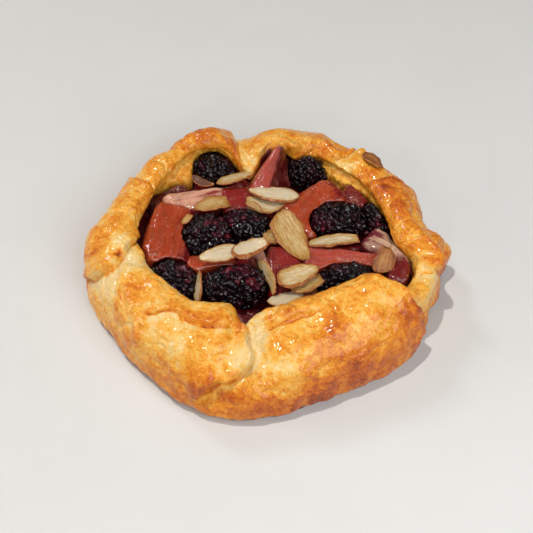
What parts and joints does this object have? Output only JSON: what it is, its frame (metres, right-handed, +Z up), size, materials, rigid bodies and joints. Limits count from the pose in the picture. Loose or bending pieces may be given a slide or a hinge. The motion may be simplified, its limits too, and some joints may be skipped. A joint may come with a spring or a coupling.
{
  "type": "fruit galette",
  "caption": "Free-form round fruit tart: folded browned pastry rim round dark berries, cut stone fruit and rhubarb, and flaked almonds.",
  "frame": {"origin": "centre of the bounding box at the flat underside, which rests on the plate", "axes": "+Z up, out of the filling; -Y towards the front of the tart, the side with the long folded flap; +X to the right, towards the sticking-out corner of dough"},
  "size_m": [0.1605, 0.1558, 0.0345],
  "materials": {
    "pastry": "egg-washed baked pastry, satin sheen, golden with browned crests",
    "juice": "thick cooked juice, glossy dark red",
    "dark_berry": "wet black-purple skin, glossy",
    "fruit_flesh": "soft cooked flesh, wet gloss, orange-red to crimson",
    "almond": "dry pale nut, brown skin on the edges"
  },
  "bodies": {
    "root": {"crust": "pastry", "filling": "juice", "berry_back_left": "dark_berry", "berry_back_right": "dark_berry", "berry_right": "dark_berry", "berry_far_right": "dark_berry", "berry_left": "dark_berry", "berry_centre": "dark_berry", "berry_front_left": "dark_berry", "berry_front": "dark_berry", "berry_front_right": "dark_berry", "fruit_left_wedge": "fruit_flesh", "fruit_far_left": "fruit_flesh", "fruit_pink_slice": "fruit_flesh", "fruit_back_cube": "fruit_flesh", "fruit_back_wedge": "fruit_flesh", "fruit_orange": "fruit_flesh", "fruit_right_skin": "fruit_flesh", "fruit_middle": "fruit_flesh", "fruit_stub": "fruit_flesh", "fruit_stick": "fruit_flesh", "fruit_right_pale": "fruit_flesh", "fruit_right_crimson": "fruit_flesh", "fruit_red_bit": "fruit_flesh", "fruit_pale_sliver": "fruit_flesh", "fruit_front_bit": "fruit_flesh", "fruit_back_strip": "fruit_flesh", "almond_back": "almond", "almond_long": "almond", "almond_long_under": "almond", "almond_toasted": "almond", "almond_edge_middle": "almond", "almond_pair_left": "almond", "almond_pair_right": "almond", "almond_leaning": "almond", "almond_right": "almond", "almond_front": "almond", "almond_front_under": "almond", "almond_front_white": "almond", "almond_edge_left": "almond", "almond_edge_front": "almond", "almond_skin": "almond", "almond_brown": "almond", "almond_tip": "almond", "almond_olive": "almond", "almond_front_skin": "almond", "almond_rim": "almond"}
  },
  "joints": []
}
